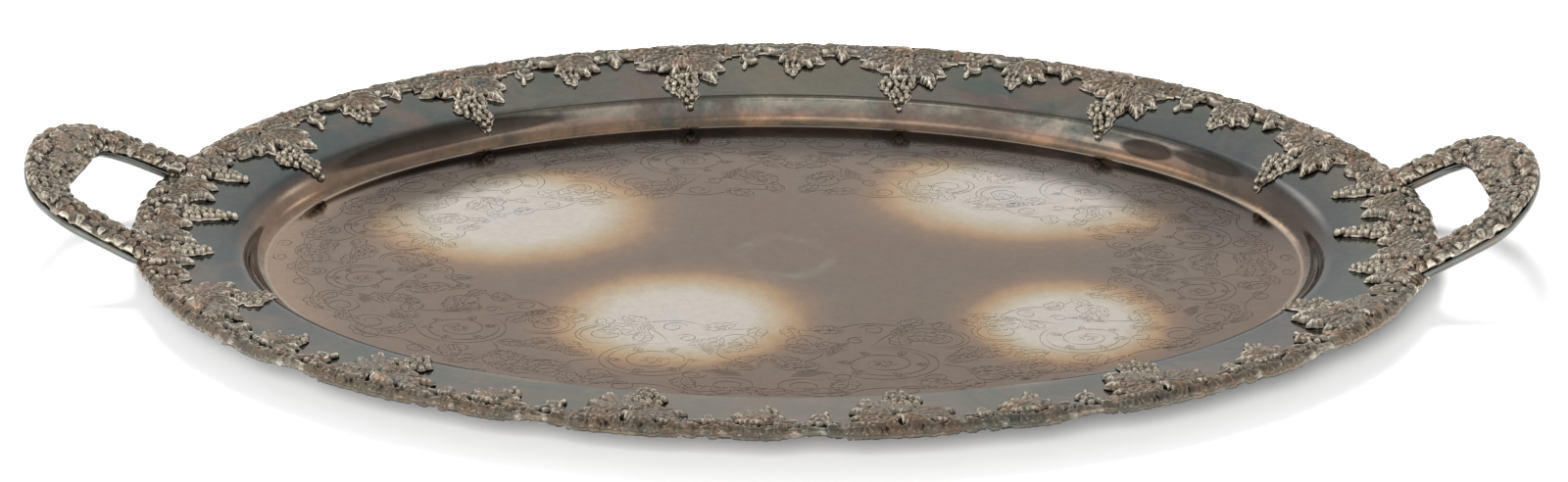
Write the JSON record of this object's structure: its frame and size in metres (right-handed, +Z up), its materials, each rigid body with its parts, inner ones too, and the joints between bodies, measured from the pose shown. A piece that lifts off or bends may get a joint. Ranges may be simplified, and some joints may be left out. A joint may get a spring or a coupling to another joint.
{
  "type": "oval serving tray",
  "caption": "Large oval silver-plated tray with a sunken engraved floor, an applied grapevine border and a looped leafwork handle at each end.",
  "frame": {"origin": "centre of the flat underside of the base", "axes": "+Z up out of the tray, +X along the long axis towards the right handle, -Y towards the person facing it"},
  "size_m": [0.7565, 0.4486, 0.0575],
  "materials": {
    "tarnished_sheet": "silver plate over copper with heavy iridescent brown and blue tarnish, and four bright round patches",
    "cast_leafwork": "cast silver-plated leafwork, darkened in the recesses and worn to warm copper on the high leaves",
    "handle_backing": "smooth silver plate with an even grey-green tarnish"
  },
  "bodies": {
    "root": {"tray_body": "tarnished_sheet", "grape_leaf_back_1": "cast_leafwork", "grape_leaf_back_2": "cast_leafwork", "grape_leaf_back_3": "cast_leafwork", "grape_leaf_back_4": "cast_leafwork", "grape_leaf_back_5": "cast_leafwork", "grape_leaf_back_6": "cast_leafwork", "vine_link_back_1": "cast_leafwork", "vine_link_back_2": "cast_leafwork", "vine_link_back_3": "cast_leafwork", "vine_link_back_4": "cast_leafwork", "vine_link_back_5": "cast_leafwork", "grape_leaf_front_1": "cast_leafwork", "grape_leaf_front_2": "cast_leafwork", "grape_leaf_front_3": "cast_leafwork", "grape_leaf_front_4": "cast_leafwork", "grape_leaf_front_5": "cast_leafwork", "grape_leaf_front_6": "cast_leafwork", "vine_link_front_1": "cast_leafwork", "vine_link_front_2": "cast_leafwork", "vine_link_front_3": "cast_leafwork", "vine_link_front_4": "cast_leafwork", "vine_link_front_5": "cast_leafwork", "left_end_casting": "cast_leafwork", "right_end_casting": "cast_leafwork", "left_handle_top": "cast_leafwork", "right_handle_top": "cast_leafwork", "left_handle_back": "handle_backing", "right_handle_back": "handle_backing"}
  },
  "joints": []
}
